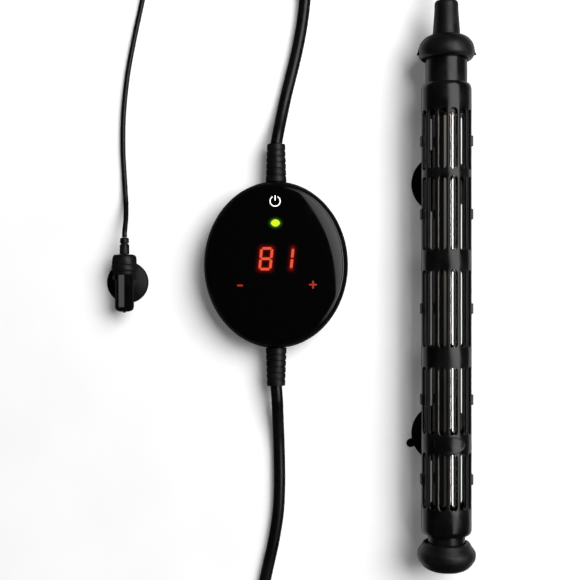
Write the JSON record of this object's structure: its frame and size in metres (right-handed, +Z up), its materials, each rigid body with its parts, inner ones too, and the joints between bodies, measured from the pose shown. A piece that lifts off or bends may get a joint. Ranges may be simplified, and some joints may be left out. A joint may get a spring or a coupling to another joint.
{
  "type": "submersible aquarium heater",
  "caption": "Submersible aquarium heater in a slotted guard with suction cups, an oval digital temperature controller and a clip-on probe, joined by cords.",
  "frame": {"origin": "on the floor under the middle of the heater, controller and probe as they lie side by side", "axes": "+Y along the heater towards its cable end, +X from the probe to the heater, +Z up out of the controller's face"},
  "size_m": [0.253, 0.649, 0.0458],
  "materials": {
    "guard_plastic": "satin-gloss black moulded plastic",
    "rubber": "dull black rubber",
    "cup_rubber": "soft black rubber with a slight sheen",
    "titanium": "polished titanium tube",
    "ceramic": "unglazed white ceramic",
    "resistance_wire": "oxidised resistance wire",
    "brass": "plain brass",
    "silicone": "red-brown silicone compound",
    "housing_plastic": "high-gloss black plastic",
    "panel_gloss": "mirror-gloss black face",
    "steel": "plain steel",
    "board": "green circuit board",
    "part_black": "black component plastic",
    "part_blue": "blue component plastic",
    "part_yellow": "yellow insulating tape",
    "led_green": "lit green-yellow lens",
    "glass": "clear glass",
    "cord_jacket": "smooth black cord jacket"
  },
  "bodies": {
    "heater_set": {"guard_front_half": "guard_plastic", "guard_back_half": "guard_plastic", "guard_oval_plate": "guard_plastic", "heating_tube": "titanium", "element_core": "ceramic", "element_winding": "resistance_wire", "element_end_bush": "ceramic", "thermal_fuse": "brass", "tube_seal": "silicone", "tube_sealing_ring": "rubber", "tube_holder_top": "guard_plastic", "tube_holder_bottom": "guard_plastic", "collar_grip": "rubber", "cable_boot": "rubber", "back_shell": "housing_plastic", "front_shell": "housing_plastic", "face_panel": "panel_gloss", "gasket_strip_left": "rubber", "gasket_strip_right": "rubber", "housing_screw_left": "steel", "housing_screw_right": "steel", "main_board": "board", "display_module": "part_black", "status_led": "led_green", "key_switch_power": "part_black", "key_switch_minus": "part_black", "key_switch_plus": "part_black", "microcontroller": "part_black", "power_transformer": "part_yellow", "relay": "part_blue", "filter_capacitor": "part_black", "cartridge_fuse": "glass", "strain_relief_top": "rubber", "strain_relief_bottom": "rubber", "probe_sleeve": "housing_plastic", "probe_head": "rubber", "probe_strain_relief": "rubber", "probe_potting": "silicone", "thermistor_bead": "ceramic", "mains_lead": "cord_jacket", "mains_lead_coil": "cord_jacket", "mains_lead_tail": "cord_jacket", "plug_body": "rubber", "plug_pin_insert": "brass", "lead_splitter": "rubber", "trunk_lead": "cord_jacket", "heater_lead_tail": "cord_jacket", "heater_lead_coil": "cord_jacket", "heater_lead": "cord_jacket", "probe_lead_tail": "cord_jacket", "probe_lead_coil": "cord_jacket", "probe_lead": "cord_jacket"},
    "upper_cup": {"suction_cup_upper": "cup_rubber"},
    "lower_cup": {"suction_cup_lower": "cup_rubber"},
    "foot": {"foot_cap": "rubber"},
    "clip": {"probe_clip": "guard_plastic"},
    "probe_cup": {"probe_suction_cup": "cup_rubber"},
    "power_key": {"key_plunger_power": "part_black"},
    "minus_key": {"key_plunger_minus": "part_black"},
    "plus_key": {"key_plunger_plus": "part_black"}
  },
  "joints": [
    {"name": "upper_cup_turn", "type": "hinge", "parent": "heater_set", "child": "upper_cup", "pos_m": [0.1044, 0.07005, 0.01], "axis": [0, 0, 1], "continuous": true},
    {"name": "lower_cup_turn", "type": "hinge", "parent": "heater_set", "child": "lower_cup", "pos_m": [0.1044, -0.10075, 0.01], "axis": [0, 0, 1], "continuous": true},
    {"name": "foot_pull", "type": "slide", "parent": "heater_set", "child": "foot", "axis": [0, -1, 0], "range_m": [0, 0.012]},
    {"name": "clip_slide", "type": "slide", "parent": "heater_set", "child": "clip", "axis": [0, -1, 0], "range_m": [0, 0.012]},
    {"name": "probe_cup_turn", "type": "hinge", "parent": "clip", "child": "probe_cup", "pos_m": [-0.11015, 0.0026, 0.004], "axis": [0, 0, 1], "continuous": true},
    {"name": "power_key_press", "type": "slide", "parent": "heater_set", "child": "power_key", "axis": [0, 0, -1], "range_m": [0, 0.00025], "stiffness_N_per_m": 2500, "springref_m": -0.0003},
    {"name": "minus_key_press", "type": "slide", "parent": "heater_set", "child": "minus_key", "axis": [0, 0, -1], "range_m": [0, 0.00025], "stiffness_N_per_m": 2500, "springref_m": -0.0003},
    {"name": "plus_key_press", "type": "slide", "parent": "heater_set", "child": "plus_key", "axis": [0, 0, -1], "range_m": [0, 0.00025], "stiffness_N_per_m": 2500, "springref_m": -0.0003}
  ]
}
